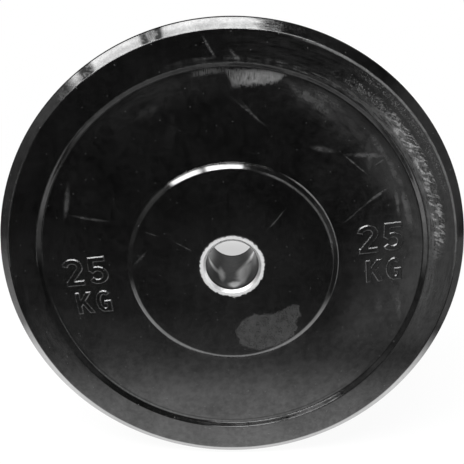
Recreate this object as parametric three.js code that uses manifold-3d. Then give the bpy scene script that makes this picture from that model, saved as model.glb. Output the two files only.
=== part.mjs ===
// Bumper plate for a 50 mm bar: a thick rubber disc moulded round a flanged steel sleeve.
//
// Millimetres. The plate stands on its tread with its axis along Y, its front face looks
// towards -Y, +Z is up, and the origin is the centre of the bore at mid thickness.
// Both faces are alike, so every outline is drawn for the back half and mirrored.
import * as THREE from 'three';
import { mergeVertices } from 'three/addons/utils/BufferGeometryUtils.js';
import Module from 'manifold-3d';

const wasm = await Module();
wasm.setup();

// Whole plate
const plateDiameter = 450;
const hubThickness = 98; // across the two raised hub faces

// Rim: a flat band beside the tread, joined to it by a long chamfer
const rimSetback = 0.9; // rim face below the raised hub face
const rimFaceWidth = 27.4;
const chamferWidth = 10.2; // along the radius
const chamferDepth = 7.1; // along the axis
const rimEdgeRounding = 3.5;
const treadEdgeRounding = 3;

// Web: the sunk ring between the rim and the raised hub
const webSetback = 4.8; // web below the raised hub face
const webWallWidth = 2.5; // the slope from the rim down to the web
const webWallRounding = 1.8;

// Raised hub: the round boss that neighbouring plates and collars bear on
const hubFaceDiameter = 192.8;
const hubEdgeRounding = 3.5;
const hubShoulderWidth = 4; // the easy slope that the hub face turns over into
const hubShoulderDepth = 3;
const hubStepWidth = 5.8; // the shoulder and the steeper foot below it, down to the web
const hubFootRounding = 1;

// Steel sleeve: the lining that slides on the bar
const boreDiameter = 50.8;
const sleeveWall = 6.35;
const sleeveSetback = 0.5; // sleeve end below the raised hub face
const leadInWidth = 2.8; // along the radius
const leadInDepth = 3.5; // along the axis
const sleeveBevel = 0.6;

// Anchor flanges: two drilled discs on the sleeve, buried in the rubber
const flangeDiameter = 160;
const flangeThickness = 6;
const flangeSpread = 46; // between the two flanges' middles
const flangeHoleCount = 6;
const flangeHoleDiameter = 22;

// Weld beads that hold each flange to the sleeve, on the flange's outer side
const weldLeg = 5;
const weldCrown = 0.6; // how far the bead bulges past a flat fillet

// Assembly
const fitGap = 0.3; // between any two pieces that seat on each other
const cutOverrun = 2; // how far a cutter or a rubber column runs past the wall it meets

// Facets: a multiple of four, turned by half a facet, so that the tread stands on a flat
const roundSegments = 84;
const holeSegments = 24;
const roundingSteps = 2;

// Places worked out from the sizes above
const plateRadius = plateDiameter / 2;
const hubFaceY = hubThickness / 2;
const rimFaceY = hubFaceY - rimSetback;
const webFaceY = hubFaceY - webSetback;
const sleeveEndY = hubFaceY - sleeveSetback;
const boreRadius = boreDiameter / 2;
const sleeveRadius = boreRadius + sleeveWall;
const seatRadius = sleeveRadius + fitGap; // what goes round the sleeve starts here
const flangeRadius = flangeDiameter / 2;
const flangeInnerY = (flangeSpread - flangeThickness) / 2;
const flangeOuterY = (flangeSpread + flangeThickness) / 2;
const weldFootY = flangeOuterY + fitGap;
const holeCircleRadius = (seatRadius + weldLeg + flangeRadius) / 2;

// Materials
const blackRubber = () => new THREE.MeshStandardMaterial({ color: 0x17181a, roughness: 0.35, metalness: 0 });
const turnedSteel = () => new THREE.MeshStandardMaterial({ color: 0xc9cbce, roughness: 0.3, metalness: 1 });
const rolledSteel = () => new THREE.MeshStandardMaterial({ color: 0x6d6f73, roughness: 0.6, metalness: 1 });
const weldMetal = () => new THREE.MeshStandardMaterial({ color: 0x8d8a86, roughness: 0.5, metalness: 1 });

// A corner of an outline: radius from the axis, place along the axis, and the rounding there
const corner = (r, y, rounding = 0) => ({ point: new THREE.Vector2(r, y), rounding });

// The points of one corner: the corner itself, or an arc that touches both of its sides
function cornerPoints(before, here, after) {
  if (here.rounding === 0) return [here.point];
  const back = before.point.clone().sub(here.point);
  const ahead = after.point.clone().sub(here.point);
  const turn = Math.PI - Math.acos(back.dot(ahead) / (back.length() * ahead.length()));
  const room = Math.min(back.length(), ahead.length()) / 2;
  const reach = Math.min(here.rounding * Math.tan(turn / 2), room);
  const start = here.point.clone().add(back.setLength(reach));
  const end = here.point.clone().add(ahead.setLength(reach));
  const arc = new THREE.QuadraticBezierCurve(start, here.point, end);
  return arc.getPoints(roundingSteps);
}

// A closed outline with its corners rounded
function closedOutline(corners) {
  const count = corners.length;
  const at = (index) => corners[(index + count) % count];
  const points = corners.flatMap((here, i) => cornerPoints(at(i - 1), here, at(i + 1)));
  return [...points, points[0]];
}

// The same corners on the other side of the plate's middle, in reverse order
const mirrored = (corners) =>
  corners.map(({ point, rounding }) => corner(point.x, -point.y, rounding)).reverse();

// The outlines run outwards along the back half first, and a lathe whose faces point out
// needs them the other way round
function turned(outline) {
  return new THREE.LatheGeometry([...outline].reverse(), roundSegments, Math.PI / roundSegments);
}

function solidFrom(geometry) {
  const bare = geometry.clone();
  bare.deleteAttribute('normal');
  bare.deleteAttribute('uv');
  const merged = mergeVertices(bare);
  const vertProperties = new Float32Array(merged.attributes.position.array);
  const triVerts = new Uint32Array(merged.index.array);
  return new wasm.Manifold(new wasm.Mesh({ numProp: 3, vertProperties, triVerts }));
}

function geometryFrom(solid) {
  const mesh = solid.getMesh();
  const geometry = new THREE.BufferGeometry();
  geometry.setAttribute('position', new THREE.BufferAttribute(mesh.vertProperties, 3));
  geometry.setIndex(new THREE.BufferAttribute(mesh.triVerts, 1));
  geometry.computeVertexNormals();
  return geometry;
}

// One round bar for each flange hole, along the axis, from one place to another
function holeBars(radius, fromY, toY) {
  return Array.from({ length: flangeHoleCount }, (_, i) => {
    const angle = (i / flangeHoleCount) * 2 * Math.PI;
    const bar = new THREE.CylinderGeometry(radius, radius, toY - fromY, holeSegments);
    const x = holeCircleRadius * Math.sin(angle);
    const z = holeCircleRadius * Math.cos(angle);
    bar.translate(x, (fromY + toY) / 2, z);
    return solidFrom(bar);
  });
}

// Rubber outside the sleeve: from the sleeve's edge over the raised hub, the web and the rim
function faceCorners() {
  const hubEdge = hubFaceDiameter / 2;
  const rimEdge = plateRadius - chamferWidth;
  const rimFoot = rimEdge - rimFaceWidth;
  return [
    corner(seatRadius, hubFaceY),
    corner(hubEdge, hubFaceY, hubEdgeRounding),
    corner(hubEdge + hubShoulderWidth, hubFaceY - hubShoulderDepth),
    corner(hubEdge + hubStepWidth, webFaceY, hubFootRounding),
    corner(rimFoot - webWallWidth, webFaceY, webWallRounding),
    corner(rimFoot, rimFaceY, webWallRounding),
    corner(rimEdge, rimFaceY, rimEdgeRounding),
    corner(plateRadius, rimFaceY - chamferDepth, treadEdgeRounding),
  ];
}

// Rubber beside the sleeve: the slot round one flange and the pocket round its weld bead
function anchorCorners() {
  const slotRadius = flangeRadius + fitGap;
  const pocket = weldLeg + weldCrown * 2 + fitGap * Math.SQRT2;
  return [
    corner(seatRadius, flangeInnerY - fitGap),
    corner(slotRadius, flangeInnerY - fitGap),
    corner(slotRadius, weldFootY),
    corner(seatRadius + pocket, weldFootY),
    corner(seatRadius, weldFootY + pocket),
  ];
}

// The moulding flows through the flange holes, so a column of rubber fills each of them
function rubberBody() {
  const inside = anchorCorners();
  const outside = faceCorners();
  const outline = [...mirrored(inside), ...inside, ...outside, ...mirrored(outside)];
  const columnRadius = flangeHoleDiameter / 2 - fitGap;
  const columnStart = flangeInnerY - fitGap - cutOverrun;
  const columnEnd = weldFootY + cutOverrun;
  const columns = [
    ...holeBars(columnRadius, columnStart, columnEnd),
    ...holeBars(columnRadius, -columnEnd, -columnStart),
  ];
  const disc = solidFrom(turned(closedOutline(outline)));
  return geometryFrom(columns.reduce((whole, column) => whole.add(column), disc));
}

// The sleeve's mouth widens at each end so that the bar finds its way in
function barSleeve() {
  const backHalf = [
    corner(boreRadius, sleeveEndY - leadInDepth),
    corner(boreRadius + leadInWidth, sleeveEndY),
    corner(sleeveRadius - sleeveBevel, sleeveEndY),
    corner(sleeveRadius, sleeveEndY - sleeveBevel),
  ];
  return turned(closedOutline([...backHalf, ...mirrored(backHalf)]));
}

function anchorFlange() {
  const ring = turned(closedOutline([
    corner(seatRadius, flangeInnerY),
    corner(seatRadius, flangeOuterY),
    corner(flangeRadius, flangeOuterY),
    corner(flangeRadius, flangeInnerY),
  ]));
  const cutters = holeBars(flangeHoleDiameter / 2, flangeInnerY - cutOverrun, flangeOuterY + cutOverrun);
  const drilled = cutters.reduce((rest, cutter) => rest.subtract(cutter), solidFrom(ring));
  return geometryFrom(drilled);
}

// A fillet weld in the corner between the sleeve and the flange, with a slightly full face
function weldBead() {
  const fullness = weldLeg / 2 + weldCrown;
  return turned(closedOutline([
    corner(seatRadius, weldFootY),
    corner(seatRadius, weldFootY + weldLeg),
    corner(seatRadius + fullness, weldFootY + fullness),
    corner(seatRadius + weldLeg, weldFootY),
  ]));
}

function named(name, geometry, material) {
  const mesh = new THREE.Mesh(geometry, material);
  mesh.name = name;
  return mesh;
}

// A flange and its weld bead, made for the back and turned half round for the front
function anchor(side, turn) {
  const group = new THREE.Group();
  group.rotation.z = turn;
  group.add(named(`${side}_anchor_flange`, anchorFlange(), rolledSteel()));
  group.add(named(`${side}_flange_weld`, weldBead(), weldMetal()));
  return group;
}

const bumperPlate = new THREE.Group();
bumperPlate.add(named('rubber_body', rubberBody(), blackRubber()));
bumperPlate.add(named('bar_sleeve', barSleeve(), turnedSteel()));
bumperPlate.add(anchor('back', 0));
bumperPlate.add(anchor('front', Math.PI));

export default bumperPlate;
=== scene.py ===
# Looks of a bumper plate: moulded rubber round a steel sleeve, on a pale floor in soft light.
#
# Metres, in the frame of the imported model: the bore's axis runs along Y, the front face looks
# towards -Y and +Z is up. Radii are measured from the bore's axis, and angles, in degrees, from
# +X towards +Z.
import math

import bpy
import numpy as np
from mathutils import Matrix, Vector


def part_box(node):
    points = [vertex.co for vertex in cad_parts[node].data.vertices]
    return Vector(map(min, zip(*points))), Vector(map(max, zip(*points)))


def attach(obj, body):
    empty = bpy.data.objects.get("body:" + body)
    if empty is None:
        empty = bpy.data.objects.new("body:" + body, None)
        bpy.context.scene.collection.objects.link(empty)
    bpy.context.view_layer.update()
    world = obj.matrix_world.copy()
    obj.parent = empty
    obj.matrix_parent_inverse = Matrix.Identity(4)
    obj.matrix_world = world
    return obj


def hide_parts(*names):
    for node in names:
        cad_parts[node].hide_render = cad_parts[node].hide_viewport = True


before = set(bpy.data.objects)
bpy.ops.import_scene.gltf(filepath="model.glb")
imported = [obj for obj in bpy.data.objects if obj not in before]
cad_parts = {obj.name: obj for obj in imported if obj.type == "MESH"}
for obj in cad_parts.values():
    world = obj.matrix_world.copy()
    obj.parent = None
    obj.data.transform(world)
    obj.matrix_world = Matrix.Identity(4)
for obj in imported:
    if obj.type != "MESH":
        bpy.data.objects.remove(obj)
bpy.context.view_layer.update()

MM = 0.001

# Sizes that the frame gives
rubber_low, rubber_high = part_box("rubber_body")
_, sleeve_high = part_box("bar_sleeve")
flange_low, flange_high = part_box("back_anchor_flange")
_, weld_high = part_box("back_flange_weld")
FLOOR_Z = rubber_low.z
PLATE_RADIUS = rubber_high.x
HUB_FACE_Y = rubber_high.y
SLEEVE_RADIUS = sleeve_high.x
SLEEVE_END_Y = sleeve_high.y
FLANGE_RADIUS = flange_high.x
WELD_RADIUS = weld_high.x

# Rubber profile: the solid's, brought a millimetre or two closer to the photograph
RIM_FACE_Y = HUB_FACE_Y - 0.9 * MM
WEB_FACE_Y = HUB_FACE_Y - 4.8 * MM
CHAMFER_WIDTH = 10.2 * MM
CHAMFER_DEPTH = 7.1 * MM
RIM_FACE_WIDTH = 27.1 * MM
WEB_WALL_WIDTH = 3.2 * MM
HUB_EDGE_RADIUS = 97 * MM
HUB_CROWN_WIDTH = 4.7 * MM
HUB_CROWN_DEPTH = 2.6 * MM
HUB_STEP_WIDTH = 5.4 * MM
HUB_DROP = 1.4 * MM
HUB_SHIFT = 0.6 * MM
FIT_GAP = 0.3 * MM

# Roundings of the rubber's corners
LIP_ROUNDING = 0.6 * MM
HUB_EDGE_ROUNDING = 3.5 * MM
HUB_CROWN_ROUNDING = 0.5 * MM
HUB_FOOT_ROUNDING = 0.25 * MM
WALL_FOOT_ROUNDING = 0.9 * MM
WALL_TOP_ROUNDING = 1.1 * MM
RIM_EDGE_ROUNDING = 3 * MM
TREAD_EDGE_ROUNDING = 2.6 * MM

# Camera, fitted to the circles of the plate in the photograph
CAMERA_PLACE = Vector((-0.3, -517.2, 196.1)) * MM
CAMERA_TARGET = Vector((-0.2, -47.2, 34.9)) * MM
CAMERA_LENS = 40.8
CAMERA_SENSOR = 36

# Mesh fineness
ROUND_SEGMENTS = 480
SLEEVE_SEGMENTS = 256
ROUNDING_STEPS = 8
LONGEST_STEP = 4 * MM
GLYPH_ARC_STEPS = 14
SHORTEST_WAVE_SHARE = 0.35


def rounded(corners):
    """The closed outline through corners of (radius, y, rounding), with each corner rounded."""
    points = []
    for i, (radius, y, rounding) in enumerate(corners):
        here = np.array((radius, y))
        before = np.array(corners[i - 1][:2]) - here
        after = np.array(corners[(i + 1) % len(corners)][:2]) - here
        if rounding == 0:
            points.append(here)
            continue
        lengths = np.linalg.norm(before), np.linalg.norm(after)
        turn = math.pi - math.acos(before @ after / (lengths[0] * lengths[1]))
        reach = min(rounding * math.tan(turn / 2), min(lengths) / 2)
        start = here + before / lengths[0] * reach
        end = here + after / lengths[1] * reach
        for s in np.linspace(0, 1, ROUNDING_STEPS + 1):
            points.append((1 - s) ** 2 * start + 2 * s * (1 - s) * here + s * s * end)
    return np.array(points)


def spaced(outline, longest):
    """The same closed outline with points added where two lie far apart."""
    points = []
    for here, after in zip(outline, np.roll(outline, -1, axis=0)):
        count = max(1, math.ceil(np.linalg.norm(after - here) / longest))
        points += [here + (after - here) * i / count for i in range(count)]
    return np.array(points)


def mirrored(corners):
    """The same corners on the other side of the plate's middle, in reverse order."""
    return [(radius, -y, rounding) for radius, y, rounding in reversed(corners)]


def waves(points, longest, count, seed):
    """A smooth random height, about -1 to 1, from plane waves up to a given length."""
    rng = np.random.default_rng(seed)
    total = np.zeros(points.shape[:-1])
    for _ in range(count):
        direction = rng.normal(size=3)
        direction /= np.linalg.norm(direction)
        length = longest * rng.uniform(SHORTEST_WAVE_SHARE, 1)
        total += np.sin(points @ direction * 2 * math.pi / length + rng.uniform(0, 2 * math.pi))
    return total / math.sqrt(count / 2)


def add_object(name, vertices, faces):
    mesh = bpy.data.meshes.new(name)
    mesh.from_pydata([tuple(v) for v in vertices], [], faces)
    mesh.shade_smooth()
    mesh.update()
    made = bpy.data.objects.new(name, mesh)
    bpy.context.scene.collection.objects.link(made)
    return made


def turned(name, outline, segments, shape=None):
    """A closed outline turned about the Y axis. shape(points, normals) may move the points."""
    ahead = np.roll(outline, -1, axis=0) - np.roll(outline, 1, axis=0)
    sideways = np.stack([-ahead[:, 1], ahead[:, 0]], axis=1)
    sideways /= np.linalg.norm(sideways, axis=1)[:, None]
    angles = np.arange(segments) / segments * 2 * math.pi
    cosines, sines = np.cos(angles)[:, None], np.sin(angles)[:, None]

    def around(section):
        radius, y = section[:, 0][None], section[:, 1][None]
        return np.stack([radius * cosines, y + 0 * cosines, radius * sines], axis=-1)

    points, normals = around(outline), around(sideways)
    if shape:
        points = shape(points, normals)
    count = len(outline)
    index = np.arange(segments * count).reshape(segments, count)
    right = np.roll(index, -1, axis=0)
    after, right_after = np.roll(index, -1, axis=1), np.roll(right, -1, axis=1)
    faces = np.stack([index, after, right_after, right], axis=-1)
    return add_object(name, points.reshape(-1, 3), faces.reshape(-1, 4).tolist())


# Rubber body

BODY_WAVE = 0.05 * MM
BODY_WAVE_LENGTH = 60 * MM
BODY_WAVE_COUNT = 24
BODY_WAVE_SEED = 1
BODY_WAVE_MIDDLE = 2.5
# How far from the sleeve and from the tread the waves have died away
SLEEVE_CALM = 10 * MM
TREAD_CALM = 3 * MM
# How far from the hub's edge its shift is whole, and over what width it fades
SHIFT_REACH = 8 * MM
SHIFT_FADE = 14 * MM
LIP_LIFT = 0.04 * MM
LIP_REACH = 0.6 * MM
LIP_THICKNESS = 0.15 * MM
LIP_RAGGED_LENGTH = 9 * MM
LIP_RAGGED_COUNT = 12
LIP_RAGGED_SEED = 5
LIP_RAGGEDNESS = 0.9
# Shortest and longest reach of the torn lip, in shares of its even one
LIP_SHARES = 0.05, 2.2
PARTING_HEIGHT = 0.1 * MM
PARTING_WIDTH = 1.2 * MM


def rubber_outline():
    rim_edge = PLATE_RADIUS - CHAMFER_WIDTH
    rim_foot = rim_edge - RIM_FACE_WIDTH
    tread = PLATE_RADIUS - PARTING_HEIGHT
    seat = SLEEVE_RADIUS + FIT_GAP
    inside = [
        (seat, flange_low.y - FIT_GAP, 0),
        (FLANGE_RADIUS + FIT_GAP, flange_low.y - FIT_GAP, 0),
        (FLANGE_RADIUS + FIT_GAP, flange_high.y + FIT_GAP, 0),
        (WELD_RADIUS + FIT_GAP, flange_high.y + FIT_GAP, 0),
        (seat, weld_high.y + FIT_GAP, 0),
    ]
    outside = [
        (seat, SLEEVE_END_Y + LIP_LIFT, 0),
        (seat - LIP_REACH, SLEEVE_END_Y + LIP_LIFT, 0),
        (seat - LIP_REACH, SLEEVE_END_Y + LIP_LIFT + LIP_THICKNESS, 0),
        (seat + LIP_REACH, HUB_FACE_Y, LIP_ROUNDING),
        (HUB_EDGE_RADIUS, HUB_FACE_Y, HUB_EDGE_ROUNDING),
        (HUB_EDGE_RADIUS + HUB_CROWN_WIDTH, HUB_FACE_Y - HUB_CROWN_DEPTH, HUB_CROWN_ROUNDING),
        (HUB_EDGE_RADIUS + HUB_STEP_WIDTH, WEB_FACE_Y, HUB_FOOT_ROUNDING),
        (rim_foot - WEB_WALL_WIDTH, WEB_FACE_Y, WALL_FOOT_ROUNDING),
        (rim_foot, RIM_FACE_Y, WALL_TOP_ROUNDING),
        (rim_edge, RIM_FACE_Y, RIM_EDGE_ROUNDING),
        (tread, RIM_FACE_Y - CHAMFER_DEPTH, TREAD_EDGE_ROUNDING),
        (tread, PARTING_WIDTH, 0),
    ]
    parting = [(PLATE_RADIUS, PARTING_WIDTH / 3, 0), (PLATE_RADIUS, -PARTING_WIDTH / 3, 0)]
    corners = [*mirrored(inside), *inside, *outside, *parting, *mirrored(outside)]
    return spaced(rounded(corners), LONGEST_STEP)


def mould_shape(points, normals):
    """The slight unevenness that a moulding has, which breaks up the highlights, and the hub's
    step a little off the bore's centre."""
    radius = np.linalg.norm(points[..., [0, 2]], axis=-1)
    outer = np.clip((radius - SLEEVE_RADIUS) / SLEEVE_CALM, 0, 1)
    inner = np.clip((PLATE_RADIUS - radius) / TREAD_CALM, 0, 1)
    height = waves(points, BODY_WAVE_LENGTH, BODY_WAVE_COUNT, BODY_WAVE_SEED)
    depth = BODY_WAVE * np.clip(BODY_WAVE_MIDDLE - height, 0, 2 * BODY_WAVE_MIDDLE)
    shaped = points - normals * (depth * outer * inner)[..., None]
    past = np.abs(radius - HUB_EDGE_RADIUS) - SHIFT_REACH
    near_step = np.clip(1 - past / SHIFT_FADE, 0, 1)
    shaped[..., 0] += HUB_SHIFT * near_step
    shaped[..., 2] -= HUB_DROP * near_step
    return shaped


def ragged_lip(points, normals):
    """The moulding's shape, with the thin lip over the sleeve's edge torn to a ragged line."""
    seat = SLEEVE_RADIUS + FIT_GAP
    radius = np.linalg.norm(points[..., [0, 2]], axis=-1)
    on_seat = points * np.array((1, 0, 1)) / radius[..., None] * seat
    end = np.sign(points[..., 1])[..., None] * np.array((0, 1, 0)) * SLEEVE_END_Y
    height = waves(on_seat + end, LIP_RAGGED_LENGTH, LIP_RAGGED_COUNT, LIP_RAGGED_SEED)
    torn = np.clip(1 + LIP_RAGGEDNESS * height, *LIP_SHARES)
    beside = (np.abs(points[..., 1]) > SLEEVE_END_Y) & (radius < seat)
    wanted = np.where(beside, seat - (seat - radius) * torn, radius)
    shaped = points * np.stack([wanted / radius, np.ones_like(radius), wanted / radius], axis=-1)
    return mould_shape(shaped, normals)


def rubber_body():
    return turned("rubber_moulding", rubber_outline(), ROUND_SEGMENTS, ragged_lip)


# Raised marking: plain block characters, drawn in shares of their height

STROKE_SHARE = 0.17
RELIEF = 1.2 * MM
RELIEF_FOOT = 0.06 * MM
RELIEF_OUTSIDE = 0.5 * MM
RELIEF_INSIDE = 0.7 * MM
RELIEF_ROOT = 0.6 * MM
MARKING_STEP = 0.4 * MM
MARKING_HALF_WIDTH = 30 * MM
MARKING_HALF_HEIGHT = 36 * MM
NUMBER_HEIGHT = 28 * MM
NUMBER_STRETCH = 1.15
LETTER_HEIGHT = 23 * MM
LETTER_STRETCH = 1.1


def arc(centre, radii, start, end):
    """Points on an upright ellipse between two angles."""
    (x, y), (across, up) = centre, radii
    angles = np.radians(np.linspace(start, end, GLYPH_ARC_STEPS))
    return [(x + across * math.cos(a), y + up * math.sin(a)) for a in angles]


# The strokes of each character
GLYPH_SHARES = {
    "2": [
        arc((0.31, 0.70), (0.225, 0.215), 170, -40) + [(0.12, 0.085)],
        [(0.05, 0.085), (0.60, 0.085)],
    ],
    "5": [
        [(0.09, 0.915), (0.59, 0.915)],
        [(0.17, 0.98), (0.14, 0.50)],
        arc((0.315, 0.325), (0.235, 0.24), 145, -150),
    ],
    "K": [[(0.085, 0), (0.085, 1)], [(0.56, 1.04), (0.10, 0.38)], [(0.25, 0.62), (0.57, -0.04)]],
    "G": [
        arc((0.33, 0.5), (0.245, 0.415), 48, 322),
        [(0.50, 0.0), (0.50, 0.46)],
        [(0.31, 0.44), (0.585, 0.44)],
    ],
}


def ribbon(path, width):
    """The outline of a stroke of even width along a path."""
    path = np.array(path, float)
    ahead = np.gradient(path, axis=0)
    side = np.stack([-ahead[:, 1], ahead[:, 0]], axis=1) / np.linalg.norm(ahead, axis=1)[:, None]
    return np.concatenate([path + side * width / 2, (path - side * width / 2)[::-1]])


def depth_inside(points, polygon):
    """How far each point lies inside a polygon, and below zero outside it."""
    after = np.roll(polygon, -1, axis=0)
    edge = after - polygon
    reach = points[:, None] - polygon[None]
    along = np.clip((reach * edge).sum(-1) / (edge ** 2).sum(-1), 0, 1)
    gap = np.linalg.norm(reach - along[..., None] * edge, axis=-1).min(axis=1)
    x, y = points[:, 0][:, None], points[:, 1][:, None]
    spans = (polygon[:, 1] > y) != (after[:, 1] > y)
    rise = np.where(edge[:, 1] == 0, 1, edge[:, 1])
    crossings = spans & (x < edge[:, 0] * (y - polygon[:, 1]) / rise + polygon[:, 0])
    return np.where(crossings.sum(axis=1) % 2 == 1, gap, -gap)


def glyph_depth(points, glyph, corner, height, stretch):
    """How deep each point lies inside a character of a given height with its foot at corner."""
    local = (points - corner) / height / np.array((stretch, 1))
    ribbons = [ribbon(path, STROKE_SHARE) for path in GLYPH_SHARES[glyph]]
    depth = np.max([depth_inside(local, polygon) for polygon in ribbons], axis=0)
    return height * np.minimum(depth, np.minimum(local[:, 1], 1 - local[:, 1]))


def marking(name, side, centre, tilt, rows):
    """A block of raised characters. side is -1 on the front face and 1 on the back, and centre is
    seen from that side. Each row is (text, height, stretch sideways, foot from the block's centre,
    start, advance)."""
    u = np.arange(-MARKING_HALF_WIDTH, MARKING_HALF_WIDTH, MARKING_STEP)
    v = np.arange(-MARKING_HALF_HEIGHT, MARKING_HALF_HEIGHT, MARKING_STEP)
    grid = np.stack(np.meshgrid(u, v, indexing="ij"), axis=-1)
    flat = grid.reshape(-1, 2)
    depth = np.full(len(flat), -1.0)
    for text, height, stretch, foot, start, advance in rows:
        for i, glyph in enumerate(text):
            corner = np.array((start + i * advance, foot))
            depth = np.maximum(depth, glyph_depth(flat, glyph, corner, height, stretch))
    share = np.clip((depth + RELIEF_OUTSIDE) / (RELIEF_OUTSIDE + RELIEF_INSIDE), 0, 1)
    lift = RELIEF * share * share * (3 - 2 * share) - RELIEF_FOOT
    turn = math.radians(tilt)
    across = centre[0] + flat[:, 0] * math.cos(turn) - flat[:, 1] * math.sin(turn)
    up = centre[1] + flat[:, 0] * math.sin(turn) + flat[:, 1] * math.cos(turn)
    outward = np.zeros((len(flat), 3))
    outward[:, 1] = side
    web = np.stack([-side * across, np.full(len(flat), side * WEB_FACE_Y), up], axis=1)
    top = mould_shape(web, outward) + outward * lift[:, None]
    root = web - outward * RELIEF_ROOT
    kept = (depth > -RELIEF_OUTSIDE - MARKING_STEP).reshape(grid.shape[:2])
    cells = kept[:-1, :-1] & kept[1:, :-1] & kept[:-1, 1:] & kept[1:, 1:]
    return relief_solid(name, top, root, cells)


def relief_solid(name, top, root, cells):
    """A closed solid from a grid of top points, the points below them and the cells to keep."""
    rows, columns = cells.shape
    index = np.arange((rows + 1) * (columns + 1)).reshape(rows + 1, columns + 1)
    under = index + index.size
    faces = []
    filled = np.pad(cells, 1)
    for i, j in zip(*np.nonzero(cells)):
        ring = [(i, j), (i + 1, j), (i + 1, j + 1), (i, j + 1)]
        faces.append([index[p] for p in ring])
        faces.append([under[p] for p in reversed(ring)])
        beyond = [filled[i + 1, j], filled[i + 2, j + 1], filled[i + 1, j + 2], filled[i, j + 1]]
        for here, after, neighbour in zip(ring, ring[1:] + ring[:1], beyond):
            if not neighbour:
                faces.append([index[after], index[here], under[here], under[after]])
    used = np.unique(faces)
    place = np.zeros(2 * index.size, int)
    place[used] = np.arange(len(used))
    points = np.concatenate([top, root])[used]
    faces = place[np.array(faces)]
    return add_object(name, points, faces.tolist())


# Text, height, stretch sideways, foot from the block's centre, start and advance
MARKING_ROWS = [
    ("25", NUMBER_HEIGHT, NUMBER_STRETCH, 3 * MM, -23.5 * MM, 23.4 * MM),
    ("KG", LETTER_HEIGHT, LETTER_STRETCH, -27.8 * MM, -16.5 * MM, 19.5 * MM),
]
# Centre of each block across and up, and its tilt in degrees
MARKING_PLACES = {"left": ((-140 * MM, -23.8 * MM), 6), "right": ((145 * MM, 11.2 * MM), 7)}


def weight_markings():
    made = []
    for face, side in (("front", -1), ("back", 1)):
        for place, (centre, tilt) in MARKING_PLACES.items():
            made.append(marking(f"{face}_{place}_marking", side, centre, tilt, MARKING_ROWS))
    return made


# Steel sleeve

SLEEVE_WALL = 6.35 * MM
BORE_RADIUS = SLEEVE_RADIUS - SLEEVE_WALL
LEAD_IN_WIDTH = 2.8 * MM
LEAD_IN_DEPTH = 3.5 * MM
BORE_ROUNDING = 0.8 * MM
LEAD_IN_ROUNDING = 0.4 * MM
SLEEVE_EDGE_ROUNDING = 0.6 * MM


def steel_sleeve():
    half = [
        (BORE_RADIUS, SLEEVE_END_Y - LEAD_IN_DEPTH, BORE_ROUNDING),
        (BORE_RADIUS + LEAD_IN_WIDTH, SLEEVE_END_Y, LEAD_IN_ROUNDING),
        (SLEEVE_RADIUS, SLEEVE_END_Y, SLEEVE_EDGE_ROUNDING),
    ]
    outline = spaced(rounded([*half, *mirrored(half)]), LONGEST_STEP)
    return turned("steel_sleeve", outline, SLEEVE_SEGMENTS)


# Camera, light and floor

PANEL_HEIGHT = 1200 * MM
PANEL_RADIANCE = 10.5
# Watts that an area lamp needs for each square metre and unit of radiance
LAMP_WATTS = 4
# Lamps overhead in millimetres: left and right edges, front and back edges, share of the full
# radiance, and whether gloss, matt surfaces and the steel take their light
PANELS = {
    "over": ((-490, 178), (-500, -300), 1, True, True, True),
    "left": ((-1500, -611), (-500, -300), 1, True, True, True),
    "middle": ((-1500, 640), (-650, -500), 1, True, True, True),
    "fill": ((-1450, 178), (-850, -650), 1, False, True, True),
    "dim": ((-1130, 40), (-1060, -650), 0.11, True, False, False),
    "sheen_over": ((-490, 178), (-1560, -1060), 1.25, True, False, False),
    "sheen_left": ((-1450, -611), (-1560, -1060), 1, True, False, False),
}


def add_camera():
    data = bpy.data.cameras.new("camera")
    data.sensor_fit = "HORIZONTAL"
    data.sensor_width = CAMERA_SENSOR
    data.lens = CAMERA_LENS
    camera = bpy.data.objects.new("camera", data)
    camera.location = CAMERA_PLACE
    camera.rotation_euler = (CAMERA_TARGET - CAMERA_PLACE).to_track_quat("-Z", "Y").to_euler()
    bpy.context.scene.collection.objects.link(camera)
    bpy.context.scene.camera = camera


def add_area_lamp(name, place, size, radiance):
    """A soft rectangular lamp that the camera doesn't see. It shines down."""
    data = bpy.data.lights.new(name, "AREA")
    data.shape = "RECTANGLE"
    data.size, data.size_y = size
    data.energy = radiance * LAMP_WATTS * data.size * data.size_y
    lamp = bpy.data.objects.new(name, data)
    lamp.location = place
    lamp.visible_camera = False
    bpy.context.scene.collection.objects.link(lamp)
    return lamp


def add_panel(rubber_parts, name, across, ahead, share, on_gloss, on_matt, on_steel):
    """A lamp that hangs level above the plate."""
    size = (across[1] - across[0]) * MM, (ahead[1] - ahead[0]) * MM
    place = sum(across) / 2 * MM, sum(ahead) / 2 * MM, PANEL_HEIGHT
    lamp = add_area_lamp(f"panel_{name}", place, size, PANEL_RADIANCE * share)
    lamp.visible_glossy = on_gloss
    lamp.visible_diffuse = on_matt
    if not on_steel:
        shine_only_on(lamp, *rubber_parts)


def shine_only_on(lamp, *lit):
    """Keeps a lamp's light to some objects."""
    chosen = bpy.data.collections.new(f"lit_by_{lamp.name}")
    for each in lit:
        chosen.objects.link(each)
    lamp.light_linking.receiver_collection = chosen


# Lamps that only the steel takes: place, size and radiance
STEEL_LAMPS = {
    "front_card_lamp": (Vector((0, -470, -120)) * MM, (1300 * MM, 190 * MM), 1.5),
    "back_card_lamp": (Vector((0, 470, -120)) * MM, (1300 * MM, 190 * MM), 1.3),
    "right_card_lamp": (Vector((640, -60, 90)) * MM, (420 * MM, 420 * MM), 3.4),
}
# Height above the horizon and width of the shadow lamp, in degrees, and its strength
SHADOW_LAMP_HEIGHT = 33
SHADOW_LAMP_SPREAD = 14
SHADOW_LAMP_STRENGTH = 1.6


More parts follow.
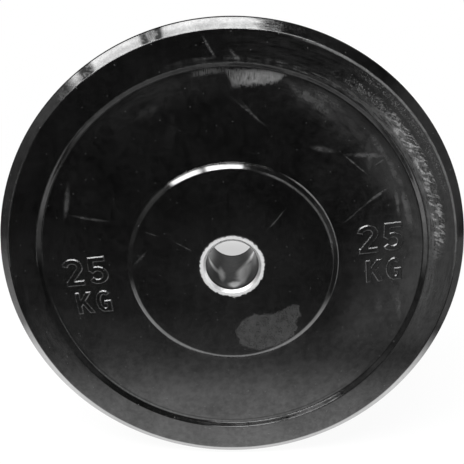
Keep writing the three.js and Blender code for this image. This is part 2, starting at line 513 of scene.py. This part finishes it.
def add_steel_lamps(steel):
    """Cards round the plate that the ends of the bright sleeve catch."""
    for name, (place, size, radiance) in STEEL_LAMPS.items():
        lamp = add_area_lamp(name, place, size, radiance)
        lamp.rotation_euler = (place * -1).to_track_quat("-Z", "Y").to_euler()
        shine_only_on(lamp, steel)


def add_shadow_lamp(floor):
    """A broad sun from ahead, for the floor only, so that the plate's shadow falls behind it."""
    data = bpy.data.lights.new("shadow_lamp", "SUN")
    data.energy = SHADOW_LAMP_STRENGTH
    data.angle = math.radians(SHADOW_LAMP_SPREAD)
    lamp = bpy.data.objects.new("shadow_lamp", data)
    lamp.rotation_euler = (math.radians(90 - SHADOW_LAMP_HEIGHT), 0, 0)
    bpy.context.scene.collection.objects.link(lamp)
    shine_only_on(lamp, floor)


class Field:
    """A number that varies over a surface, worked out by shader nodes."""

    def __init__(self, tree, socket):
        self.tree = tree
        self.socket = socket

    def math(self, operation, *others, clamp=False):
        node = self.tree.nodes.new("ShaderNodeMath")
        node.operation = operation
        node.use_clamp = clamp
        for given, socket in zip((self, *others), node.inputs):
            plug(self.tree, given, socket)
        return Field(self.tree, node.outputs[0])

    def __add__(self, other):
        return self.math("ADD", other)

    def __sub__(self, other):
        return self.math("SUBTRACT", other)

    def __mul__(self, other):
        return self.math("MULTIPLY", other)

    def __truediv__(self, other):
        return self.math("DIVIDE", other)

    __radd__ = __add__

    def __rsub__(self, other):
        return self * -1 + other

    def highest(self, other):
        return self.math("MAXIMUM", other)

    def lowest(self, other):
        return self.math("MINIMUM", other)

    def size(self):
        return self.math("ABSOLUTE")

    def root(self):
        return self.math("SQRT")

    def step(self, low, high):
        """0 below low and 1 above high, or the other way round, with a smooth change between."""
        node = self.tree.nodes.new("ShaderNodeMapRange")
        node.interpolation_type = "SMOOTHSTEP"
        turned_round = low > high
        plug(self.tree, self, node.inputs["Value"])
        node.inputs["From Min"].default_value = min(low, high)
        node.inputs["From Max"].default_value = max(low, high)
        node.inputs["To Min"].default_value = 1 if turned_round else 0
        node.inputs["To Max"].default_value = 0 if turned_round else 1
        return Field(self.tree, node.outputs["Result"])


def plug(tree, given, socket):
    """Gives a socket a field, another socket or a plain value."""
    if isinstance(given, Field):
        tree.links.new(given.socket, socket)
    elif isinstance(given, bpy.types.NodeSocket):
        tree.links.new(given, socket)
    else:
        socket.default_value = given


def separate(tree, vector):
    node = tree.nodes.new("ShaderNodeSeparateXYZ")
    plug(tree, vector, node.inputs[0])
    return [Field(tree, out) for out in node.outputs]


def combined(tree, x, y, z):
    node = tree.nodes.new("ShaderNodeCombineXYZ")
    for given, socket in zip((x, y, z), node.inputs):
        plug(tree, given, socket)
    return node.outputs[0]


def stretched(tree, vector, x, y, z):
    node = tree.nodes.new("ShaderNodeVectorMath")
    node.operation = "MULTIPLY"
    plug(tree, vector, node.inputs[0])
    node.inputs[1].default_value = (x, y, z)
    return node.outputs[0]


def noise(tree, vector, grain, detail=2, roughness=0.5):
    """Noise of about 0 to 1 whose blots are about grain metres across."""
    node = tree.nodes.new("ShaderNodeTexNoise")
    plug(tree, vector, node.inputs["Vector"])
    node.inputs["Scale"].default_value = 1 / grain
    node.inputs["Detail"].default_value = detail
    node.inputs["Roughness"].default_value = roughness
    return Field(tree, node.outputs[0])


def grey(tree, field):
    node = tree.nodes.new("ShaderNodeCombineColor")
    for socket in node.inputs[:3]:
        plug(tree, field, socket)
    return node.outputs[0]


def new_surface(name):
    """A material with an empty Principled surface. Gives the material, its tree and the surface."""
    material = bpy.data.materials.new(name)
    material.use_nodes = True
    tree = material.node_tree
    tree.nodes.clear()
    surface = tree.nodes.new("ShaderNodeBsdfPrincipled")
    output = tree.nodes.new("ShaderNodeOutputMaterial")
    tree.links.new(surface.outputs[0], output.inputs[0])
    return material, tree, surface


def set_bump(tree, surface, height, distance):
    node = tree.nodes.new("ShaderNodeBump")
    node.inputs["Distance"].default_value = distance
    plug(tree, height, node.inputs["Height"])
    plug(tree, node.outputs[0], surface.inputs["Normal"])


def place_on(tree):
    return tree.nodes.new("ShaderNodeTexCoord").outputs["Object"]


# Floor and surroundings

FLOOR_HALF = 1300 * MM
FLOOR_WHITE_SHARE = 0.92
WHITE_FROM, WHITE_TO = 600 * MM, 1100 * MM
FLOOR_TONE = 0.8
SHADOWED_TONE = 0.94
# Painted shadow of the plate on the floor behind it, an oval that starts at its foot and darkens
# the floor's glow to the camera
SHADE_HALF_WIDTH = 250 * MM
SHADE_HALF_LENGTH = 400 * MM
SHADE_MIDDLE = 380 * MM
SHADE_EDGE, SHADE_CORE = 1.05, 0.5
SHADE_DEPTH = 0.42
ROOM_LIGHT = 0.3
DIM_LIGHT = 0.025
# Pools of light painted into the floor's glow that gloss sees round the plate: how far ahead or
# behind each starts and is full, in millimetres, and its strength
PAINTED_LIGHT_POOLS = [(410, 240, 0.16), (258, 112, 0.81), (130, 60, 0.3)]


def mixed(tree, share, first, second):
    node = tree.nodes.new("ShaderNodeMixShader")
    plug(tree, share, node.inputs["Fac"])
    tree.links.new(first, node.inputs[1])
    tree.links.new(second, node.inputs[2])
    return node.outputs[0]


def glowing(tree, strength):
    node = tree.nodes.new("ShaderNodeEmission")
    plug(tree, strength, node.inputs["Strength"])
    return node.outputs[0]


def diffuse(tree, tone):
    node = tree.nodes.new("ShaderNodeBsdfDiffuse")
    node.inputs["Color"].default_value = (tone, tone, tone, 1)
    return node.outputs[0]


def ray_kinds(tree):
    """Whether the camera looks straight or through glass, and whether gloss looks."""
    rays = tree.nodes.new("ShaderNodeLightPath").outputs
    camera, glass = Field(tree, rays["Is Camera Ray"]), Field(tree, rays["Is Transmission Ray"])
    return camera.highest(glass), Field(tree, rays["Is Glossy Ray"])


def painted_card_mask(x, y, start, full):
    """1 towards a pale card that is only painted into what gloss sees, with no card object there,
    ahead of the plate on its right, and one behind it. Start and full are how far its soft edge
    lies to the right, in shares of the distance ahead."""
    across = x * -1 / y
    return across.step(start, full) * across.step(1.3, 1)


def painted_floor_glow(x, y):
    """Painted glow that gloss sees on the floor, not light from any lamp: painted pools of light
    round the plate, brightest beside it, and dim beyond.
    """
    ahead = y.size()
    pool = sum(ahead.step(start * MM, full * MM) * strength for start, full, strength in PAINTED_LIGHT_POOLS)
    lit = x.step(430 * MM, 310 * MM) * x.step(-490 * MM, -390 * MM)
    pool = pool * x.step(370 * MM, 230 * MM) * x.step(-490 * MM, -330 * MM)
    under = ahead.step(70 * MM, 30 * MM) * x.size().step(420 * MM, 250 * MM) * 0.5
    beside = x.size().step(120 * MM, 300 * MM) * lit
    beside = beside * ahead.step(110 * MM, 40 * MM) * 0.9
    far_left = (x * -1).step(300 * MM, 420 * MM) * ahead.step(170 * MM, 60 * MM)
    far_left = far_left * (0.3 + (x * -1).step(1200 * MM, 350 * MM) * 0.65)
    far_right = x.step(350 * MM, 480 * MM) * ahead.step(170 * MM, 60 * MM) * 0.28
    far_right = far_right.highest(x.step(450 * MM, 600 * MM) * y.step(50 * MM, 130 * MM) * 1.5)
    card = painted_card_mask(x, y, 0.36, 0.66) * ahead.step(200 * MM, 300 * MM) * 0.36
    dim = DIM_LIGHT + ahead.step(900 * MM, 450 * MM) * 0.045
    return (pool + under + beside + dim).highest(far_left).highest(far_right).highest(card)


def floor_material():
    """Pale to the light and white to the camera, keeping the shadow, with a painted shadow behind
    the plate, and glowing in painted pools of light to gloss.
    """
    material = bpy.data.materials.new("floor")
    material.use_nodes = True
    tree = material.node_tree
    tree.nodes.clear()
    x, y, _ = separate(tree, place_on(tree))
    seen, gloss = ray_kinds(tree)
    away = (x * x + y * y).root().step(WHITE_FROM, WHITE_TO)
    white_share = FLOOR_WHITE_SHARE + away * (1 - FLOOR_WHITE_SHARE)
    across, along = x / SHADE_HALF_WIDTH, (y - SHADE_MIDDLE) / SHADE_HALF_LENGTH
    painted_shadow = (across * across + along * along).root().step(SHADE_EDGE, SHADE_CORE)
    # Painted shadow: over the oval behind the plate, the floor's glow to the camera is darker.
    white = glowing(tree, 1 - painted_shadow * SHADE_DEPTH)
    to_camera = mixed(tree, white_share, diffuse(tree, SHADOWED_TONE), white)
    to_light = mixed(tree, seen, diffuse(tree, FLOOR_TONE), to_camera)
    # Painted light: to gloss, the floor glows in painted pools of light and a painted card instead
    # of showing its lit colour.
    shown = mixed(tree, gloss, to_light, glowing(tree, painted_floor_glow(x, y)))
    output = tree.nodes.new("ShaderNodeOutputMaterial")
    tree.links.new(shown, output.inputs[0])
    return material


def add_floor():
    half = FLOOR_HALF
    corners = [(-half, -half, 0), (half, -half, 0), (half, half, 0), (-half, half, 0)]
    floor = add_object("floor", corners, [(0, 1, 2, 3)])
    floor.location.z = FLOOR_Z
    floor.data.materials.append(floor_material())
    return floor


def set_world():
    """White to the camera, plain to the light, and a dim room with a few pale walls to gloss."""
    world = bpy.data.worlds.new("surroundings")
    bpy.context.scene.world = world
    world.use_nodes = True
    tree = world.node_tree
    tree.nodes.clear()
    direction = tree.nodes.new("ShaderNodeTexCoord").outputs["Generated"]
    x, y, z = separate(tree, direction)
    left = (x * -1).step(0.58, 0.8) * z.step(0.66, 0.52) * (0.14 + z.step(0.1, 0.42) * 0.24)
    right = x.step(0.72, 0.92) * z.step(0.95, 0.75) * y.step(0.1, -0.05) * 0.22
    back = y.step(0.5, 0.8) * x.size().step(0.45, 0.25) * z.step(0.05, 0.2) * 0.6
    card = painted_card_mask(x, y, 0.2, 0.4) * z.step(0.03, -0.03) * 0.45
    room = left.highest(right).highest(back).highest(card).highest(DIM_LIGHT)
    seen, gloss = ray_kinds(tree)
    background = tree.nodes.new("ShaderNodeBackground")
    background.inputs["Color"].default_value = (1, 1, 1, 1)
    strength = seen + (1 - seen) * (gloss * room + (1 - gloss) * ROOM_LIGHT)
    plug(tree, strength, background.inputs["Strength"])
    output = tree.nodes.new("ShaderNodeOutputWorld")
    tree.links.new(background.outputs[0], output.inputs[0])


# Materials

# Scuffs on a face: start and end across and up, half width, all in millimetres, and strength
SCUFFS = [
    ((-1, 160), (34, 130), 1.6, 0.4),
    ((4, 160), (30, 133), 1.4, 0.35),
    ((40, 176), (96, 137), 5.5, 0.38),
    ((52, 172), (108, 142), 7, 0.2),
    ((68, 115), (96, 109), 4, 0.45),
    ((97, 110), (129, 85), 1.2, 0.6),
    ((98, 107), (146, 106), 3.2, 0.5),
    ((121, 124), (126, 86), 4, 0.2),
    ((128, 96), (141, 105), 1.1, 0.4),
    ((102, 40), (128, 63), 1.2, 0.4),
    ((122, 58), (146, 79), 2, 0.8),
    ((149, 84), (159, 42), 2.4, 0.5),
    ((155, 82), (166, 44), 2.4, 0.4),
    ((122, 128), (142, 101), 4, 0.35),
    ((136, 112), (160, 74), 4, 0.45),
    ((156, 80), (172, 32), 4.5, 0.4),
    ((-150, 84), (-159, 42), 3.5, 0.5),
    ((-158, 51), (-112, 43), 2.2, 0.4),
    ((-26, 210), (-13, 189), 2, 0.6),
    ((-4, 200), (8, 187), 2.6, 0.4),
    ((29, 34), (53, 61), 1, 0.5),
    ((-85, 36), (-66, 31), 1, 0.4),
    ((-59, 28), (-35, 14), 1.1, 0.5),
    ((-96, 0), (-80, 18), 2, 0.35),
    ((197, 93), (206, 97), 0.9, 0.6),
    ((163, -26), (169, -64), 3.5, 0.45),
    ((142, -28), (150, -54), 5, 0.2),
    ((-52, 150), (-58, 96), 7, 0.05),
    ((-60, 154), (-90, 138), 6, 0.13),
]
# Corners of the matte patch beside the hub's edge, in two convex pieces, in millimetres
PATCH = [
    [
        (4, -68), (8, -60), (22, -51), (42, -50), (62, -58), (66, -65),
        (62, -75), (46, -86), (31, -91), (17, -90), (8, -84),
    ],
    [(34, -58), (44, -50), (60, -40), (67, -42), (68, -52), (63, -62)],
]
# Corners of the patch that is rubbed pale at the top of the web
RUBBED = [(-6, 182.5), (30, 183), (48, 179), (41, 171), (22, 168), (-1, 167)]
# Stretches of edges with their shine worn off, on the rim, and painted highlight lines with a
# duller shine, on the hub's edge and foot: radii and their softness in millimetres, angles and
# their softness in degrees, and strength
RIM_WEAR = [
    ((213.2, 214.9, 0.8), (0, 72, 8), 1.7),
    ((213.6, 214.8, 0.6), (150, 186, 8), 0.4),
]
HUB_PAINTED_LINES = [
    ((96, 98, 0.8), (10, 72, 8), 0.8),
    ((101.7, 102.7, 0.5), (-14, 56, 10), 2.8),
]
# Smears across the chamfer: start, end and softness in degrees, and strength
CHAMFER_SMEARS = [
    (105.8, 107.3, 0.8, 1),
    (109, 110.4, 0.8, 1),
    (123.4, 126.6, 1.2, 1),
    (130, 134, 1.5, 0.8),
]
BACK_MARKS_TURN = 140
TONGUES_LEAN = -25
DUST_SPACING = 26 * MM
DUST_SHARE = 0.018
FLECK_SPACING = 2.7 * MM
FLECK_SHARE = 0.26


def polar(x, z):
    """Radius, in the unit of x and z, and angle in degrees."""
    radius = (x * x + z * z).root()
    return radius, z.math("ARCTAN2", x) * (180 / math.pi)


def stroke(u, v, start, end, width):
    """1 in the middle of a straight stroke, fading and narrowing towards its ends."""
    length = math.dist(start, end)
    along_u, along_v = (end[0] - start[0]) / length, (end[1] - start[1]) / length
    from_u, from_v = u - start[0], v - start[1]
    along = from_u * along_u + from_v * along_v
    across = (from_v * along_u - from_u * along_v).size()
    ends = along.step(0, length * 0.4) * along.step(length, length * 0.6)
    return (across / (ends * 0.7 + 0.3)).step(width, width * 0.1) * ends


def outside(u, v, corners):
    """Distance from a convex outline whose corners run clockwise, below zero inside it."""
    furthest = None
    for here, after in zip(corners, corners[1:] + corners[:1]):
        length = math.dist(here, after)
        out_u, out_v = (here[1] - after[1]) / length, (after[0] - here[0]) / length
        gap = u * out_u + v * out_v - (here[0] * out_u + here[1] * out_v)
        furthest = furthest.highest(gap) if furthest else gap
    return furthest


def band(field, low, high, soft):
    """1 between low and high, with soft ends."""
    return field.step(low - soft, low + soft) * field.step(high + soft, high - soft)


def ring_part(radius, angle, radii, angles):
    """1 on a stretch of a ring. Radii and angles are each low, high and soft."""
    return band(radius, *radii) * band(angle, *angles)


def ring_parts(radius, angle, rows):
    return sum(ring_part(radius, angle, radii, angles) * share for radii, angles, share in rows)


def dots(tree, vector, spacing, share):
    """Small round specks: 1 inside them and 0 between."""
    node = tree.nodes.new("ShaderNodeTexVoronoi")
    plug(tree, vector, node.inputs["Vector"])
    node.voronoi_dimensions = "2D"
    node.inputs["Scale"].default_value = 1 / spacing
    return Field(tree, node.outputs["Distance"]).step(share, share * 0.5)


def spread(field):
    """Noise that clusters round a half, spread out over 0 to 1."""
    return field.step(0.3, 0.7)


class Face:
    """Places on a face in millimetres and degrees, and the textures that its marks share. The
    back has the same kinds of marks as the front, turned round."""

    def __init__(self, tree):
        place = place_on(tree)
        x, y, z = separate(tree, place)
        front = y.step(0.5 * MM, -0.5 * MM)
        turn = math.radians(BACK_MARKS_TURN)
        turned_x = x * math.cos(turn) + z * math.sin(turn)
        turned_z = x * math.sin(turn) - z * math.cos(turn)
        self.u = (x * front + turned_x * (1 - front)) / MM
        self.v = (z * front + turned_z * (1 - front)) / MM
        self.radius, self.angle = polar(self.u, self.v)
        self.grain = spread(noise(tree, place, 1.4 * MM))
        self.speck = spread(noise(tree, place, 0.9 * MM, 1))
        self.mottle = spread(noise(tree, place, 6 * MM, 4, 0.6))
        self.cloud = spread(noise(tree, place, 45 * MM, 3))
        self.fibre = spread(noise(tree, stretched(tree, place, 1, 1, 0.12), 0.9 * MM))
        self.drag = spread(noise(tree, stretched(tree, place, 1, 1, 0.2), 9 * MM, 4, 0.6))
        reach, _ = polar(x, z)
        round_place = combined(tree, reach, x / reach * 0.02, z / reach * 0.02)
        self.sweep = spread(noise(tree, round_place, 1.6 * MM, 3, 0.6))
        lean = math.radians(TONGUES_LEAN)
        along = x * math.cos(lean) + z * math.sin(lean)
        across = z * math.cos(lean) - x * math.sin(lean)
        self.tongues = spread(noise(tree, combined(tree, along * 0.28, y, across), 2.3 * MM))
        flat_place = combined(tree, x, z, 0)
        self.dust = dots(tree, flat_place, DUST_SPACING, DUST_SHARE)
        self.flecks = dots(tree, flat_place, FLECK_SPACING, FLECK_SHARE)


def scuff_marks(face):
    u, v = face.u + (face.drag - 0.5) * 1.2, face.v + (face.cloud - 0.5) * 2
    strokes = sum(stroke(u, v, *shape) * strength for *shape, strength in SCUFFS)
    return strokes * (0.3 + face.mottle * 0.7 + face.grain * 0.7)


def patch_mark(face):
    near = outside(face.u, face.v, PATCH[0]).lowest(outside(face.u, face.v, PATCH[1]))
    near = near + (face.mottle - 0.5) * 3 + (face.grain - 0.5) * 1.2
    tone = 0.28 + face.mottle * 0.18 + face.grain * 0.26 + face.drag * 0.12
    return near.step(1, -1) * tone * face.radius.step(99.5, 97)


def rubbed_mark(face):
    near = outside(face.u, face.v, RUBBED) + (face.fibre - 0.5) * 3.5 + (face.mottle - 0.5) * 3
    body = near.step(1.5, -3) * (0.6 + face.u.step(-6, 30) * 0.4)
    tail = band(face.angle, 92, 101, 2) * face.radius.step(177, 181) * 0.35
    texture = 0.3 + face.fibre * 1.9 + face.mottle * 0.8
    return (body + tail) * texture * face.radius.step(184, 182.5)


def web_haze(face):
    """Paler, duller patches over the outer part of the web, in strokes along and across it."""
    blotch = (face.cloud - 0.5) * 12 + (face.mottle - 0.5) * 3 + (face.sweep - 0.5) * 4
    uneven, less_uneven = face.radius + blotch, face.radius + blotch * 0.6
    inside_wall = face.radius.step(184.2, 182.8)
    beside_rub = band(face.angle, 58, 76, 9) * less_uneven.step(154, 186) * 0.26
    upper_right = ring_part(less_uneven, face.angle, (162, 176, 14), (26, 66, 12)) * 0.28
    upper_left = band(face.angle, 94, 132, 16) * uneven.step(150, 188) * 0.16
    right = band(face.angle, -14, 26, 8) * uneven.step(152, 180) * 0.2
    broad = band(face.angle, -8, 60, 16) * uneven.step(96, 150) * 0.06
    texture = 0.4 + face.sweep * 0.6 + face.mottle * 0.2 + face.speck * 0.3
    return (beside_rub + upper_right + upper_left + right + broad) * inside_wall * texture


def rim_marks(face):
    """The rim's worn side: a pale band, torn at its edge, with streaks, chips and speckle."""
    radius, angle = face.radius, face.angle + (face.cloud - 0.5) * 10
    upper = angle.step(-2, 14)
    torn = radius + (face.tongues - 0.5) * 9 * upper
    worn = angle.step(66, 44) * angle.step(-34, -6)
    streaks = (0.3 + face.sweep * 0.9) * (0.8 + face.grain * 0.3)
    pale = torn.step(202, 195) * radius.step(187, 190) * worn * streaks * (0.55 + upper * 0.6)
    chips = ring_part(radius, angle, (193.5, 203, 2), (6, 52, 6)) * face.tongues.step(0.4, 0.95)
    chips = chips * (0.5 + face.grain * 0.8) * 3.4
    where = band(radius, 196, 203, 2) + band(radius, 207, 212, 1.5) * 0.6 + 0.2
    where = where * ring_part(radius, angle, (196, 213, 2), (24, 60, 6))
    specks = face.flecks * 1.7 + face.speck.step(0.6, 1) * 0.8
    speckle = where * specks * face.mottle
    outer = ring_part(radius, angle, (206.5, 213.5, 2), (24, 60, 9)) * face.sweep * face.speck * 0.7
    lower = band(radius, 199, 213, 3) * angle.step(-34, -10) * angle.step(40, 10)
    lower = lower * face.sweep * 0.26
    inner = ring_part(radius, angle, (188, 193, 2), (58, 106, 10)) * face.sweep * face.drag * 0.8
    top = ring_part(radius, angle, (190, 213, 4), (60, 88, 10)) * face.sweep * 0.14
    low_left = ring_part(radius, angle, (191, 211, 4), (-172, -138, 12)) * face.sweep * 0.2
    return pale + chips + speckle + outer + lower + inner + top + low_left


def edge_marks_and_painted_lines(face):
    """Edges drawn paler and duller: stretches of the rim's edge where the shine is worn off, and
    painted highlight lines along the hub's edge and foot and along the wall's top and foot.
    """
    broken = 0.5 + face.sweep * 0.5 + face.grain * 0.5
    radius, angle = face.radius, face.angle
    aside, low = face.u - HUB_SHIFT / MM, face.v + HUB_DROP / MM
    hub_radius = (aside * aside + low * low).root()
    edges = ring_parts(radius, angle, RIM_WEAR) + ring_parts(hub_radius, angle, HUB_PAINTED_LINES)
    # Painted highlight lines along the wall's foot and top edge on the upper left, and just inside
    # its foot at the lower left.
    wall = (band(radius, 183.5, 184, 0.4) + band(radius, 187.6, 188.1, 0.4)) * angle.step(66, 80)
    wall_foot_painted_line = ring_part(radius, angle, (182.4, 183.3, 0.5), (-165, -85, 8))
    return (edges + wall * 0.5 + wall_foot_painted_line * 0.5) * broken


def chamfer_dirt(face):
    """How much of the chamfer's shine is lost to smears."""
    smears = sum(band(face.angle, *ends) * strength for *ends, strength in CHAMFER_SMEARS)
    right = band(face.angle, 79, 85, 1.5) * face.sweep * 0.7
    texture = 0.15 + face.tongues * 0.6 + face.mottle * 0.6
    thin = band(face.angle, 85, 132, 2) * (0.16 + face.radius.step(223, 216) * 0.14)
    return (((smears + right) * texture + thin) * face.radius.step(214, 216)).lowest(1)


def worn_lines(face):
    """How much shine is lost on the slope between rim and web, and along the tread's edge."""
    radius, angle = face.radius, face.angle
    upper_left = band(angle, 96, 166, 8) * 0.28 + angle.step(158, 168) * 0.6
    lower = angle.step(-138, -160) * 0.6
    right = band(angle, -4, 12, 6) * 0.35
    wall = (upper_left + lower + right) * band(radius, 184.3, 187.5, 0.7)
    groove = ring_part(radius, angle, (180.3, 181.5, 0.6), (-165, -50, 10)) * 0.4
    low_right = ring_part(radius, angle, (183.2, 188.8, 0.6), (-62, -40, 6)) * 0.52
    tread = radius.step(223.3, 224) * band(angle, 82, 150, 6) * 0.75
    return wall + groove + low_right + tread


RUBBER_IOR = 1.8
RUBBER_ROUGHNESS = 0.07
RUBBER_BUMP = 0.015 * MM
MARKING_SLOPE_SHEEN = 0.4


def rubber_material(name, slope_sheen):
    """Black rubber, glossy from the mould, with dust and scuffs that are paler and duller. The
    second argument sets a paler colour painted on slopes as their reflection, a painted sheen, with
    a duller shine there."""
    material, tree, surface = new_surface(name)
    surface.inputs["IOR"].default_value = RUBBER_IOR
    face = Face(tree)
    marks = scuff_marks(face) + patch_mark(face) + rubbed_mark(face) + web_haze(face)
    marks = marks + rim_marks(face) + edge_marks_and_painted_lines(face) + face.dust * 1.2
    # Painted sheen: slopes, such as the sides of the raised marking, get a paler colour and a
    # duller shine, standing in for their reflection.
    _, facing, _ = separate(tree, tree.nodes.new("ShaderNodeTexCoord").outputs["Normal"])
    marks = marks + facing.size().step(0.95, 0.7) * (0.5 + face.grain) * slope_sheen
    film = face.drag * 0.06 + face.cloud * 0.16 + face.fibre * 0.08 + face.mottle * 0.18
    film = film + face.radius.step(80, 35) * 0.2
    plug(tree, grey(tree, 0.0005 + film * 0.011 + marks * 0.05), surface.inputs["Base Color"])
    dirt = chamfer_dirt(face)
    dull = (marks * 0.35 + dirt * 0.4).math("ADD", film * 0.15, clamp=True)
    plug(tree, RUBBER_ROUGHNESS + dull, surface.inputs["Roughness"])
    shine = 0.31 + face.drag * 0.05 + face.mottle * 0.15 + face.cloud * 0.1 + face.grain * 0.08
    dirt = (dirt * 0.85 + worn_lines(face)).lowest(1)
    plug(tree, shine * (1 - dirt), surface.inputs["Specular IOR Level"])
    set_bump(tree, surface, noise(tree, place_on(tree), 2 * MM, 3), RUBBER_BUMP)
    return material


# Highlights painted into the bore as bright streaks along grease smears: angle in degrees and place
# along the axis in millimetres, at both ends, width in millimetres and strength
BORE_PAINTED_HIGHLIGHTS = [
    ((-172, -4), (-108, -16), 8, 1),
    ((-119, 10), (-113, -36), 6, 1),
    ((-14, 22), (-60, 4), 10, 1),
    ((-55, 20), (-66, -44), 12, 1.4),
    ((-84, -24), (-84, -44), 9, 1.3),
]
MOUTH_SHADE = 5 * MM
STEEL_ROUGHNESS = 0.48
STEEL_BUMP = 0.02 * MM


def steel_material():
    """Bright turned steel at the ends and darker drawn steel in the bore, with grease smears whose
    bright streaks are painted highlights, and painted shade towards the bore's mouths.
    """
    material, tree, surface = new_surface("turned_steel")
    place = place_on(tree)
    x, y, z = separate(tree, place)
    radius, angle = polar(x / MM, z / MM)
    bore_mm = BORE_RADIUS / MM
    inside = radius.step(bore_mm + 0.5, bore_mm + 0.15)
    arc_length = math.radians(1) * bore_mm
    fine = noise(tree, place, 1.5 * MM, 3)
    mottle = noise(tree, place, 7 * MM, 4, 0.6)
    turning = noise(tree, combined(tree, radius / 1000, angle * 2e-5, y), 0.25 * MM, 3)
    u, v = angle * arc_length + (mottle - 0.5) * 3, y / MM + (mottle - 0.5) * 6
    # Painted highlights: bright streaks raise the bore's colour.
    streaks = 0.0
    for (angle_a, y_a), (angle_b, y_b), width, strength in BORE_PAINTED_HIGHLIGHTS:
        ends = (angle_a * arc_length, y_a), (angle_b * arc_length, y_b)
        streaks = stroke(u, v, *ends, width) * strength + streaks
    bright = 0.66 + fine * 0.1 + turning * 0.1
    lead_in_y = SLEEVE_END_Y - LEAD_IN_DEPTH
    # Painted shade: the bore's colour darkens over its last few millimetres before each lead-in.
    mouth = y.size().step(lead_in_y - MOUTH_SHADE, lead_in_y)
    dark = (0.08 + mottle * 0.13 + streaks * 0.8) * (1 - mouth * 0.85)
    plug(tree, grey(tree, bright * (1 - inside) + dark * inside), surface.inputs["Base Color"])
    plug(tree, STEEL_ROUGHNESS + fine * 0.1, surface.inputs["Roughness"])
    surface.inputs["Metallic"].default_value = 1
    set_bump(tree, surface, turning, STEEL_BUMP)
    return material


def hidden_steel(name, tone, roughness):
    material, tree, surface = new_surface(name)
    surface.inputs["Metallic"].default_value = 1
    mottle = noise(tree, place_on(tree), 6 * MM, 4)
    plug(tree, grey(tree, tone * 0.8 + mottle * tone * 0.4), surface.inputs["Base Color"])
    plug(tree, roughness + mottle * 0.1, surface.inputs["Roughness"])
    return material


def paint(made, material):
    made.data.materials.clear()
    made.data.materials.append(material)


# The object

add_camera()
rubber = rubber_material("moulded_rubber", 0)
marking_rubber = rubber_material("marking_rubber", MARKING_SLOPE_SHEEN)

body = rubber_body()
paint(body, rubber)
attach(body, "root")
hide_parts("rubber_body")

sleeve = steel_sleeve()
paint(sleeve, steel_material())
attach(sleeve, "root")
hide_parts("bar_sleeve")

rolled = hidden_steel("rolled_steel", 0.36, 0.5)
bead = hidden_steel("weld_metal", 0.46, 0.4)
for side in ("front", "back"):
    paint(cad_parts[f"{side}_anchor_flange"], rolled)
    paint(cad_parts[f"{side}_flange_weld"], bead)

markings = weight_markings()
for raised in markings:
    paint(raised, marking_rubber)
    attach(raised, "root")

add_shadow_lamp(add_floor())
add_steel_lamps(sleeve)
set_world()
for name, sizes in PANELS.items():
    add_panel([body, *markings], name, *sizes)
bpy.context.scene.view_settings.view_transform = "Standard"
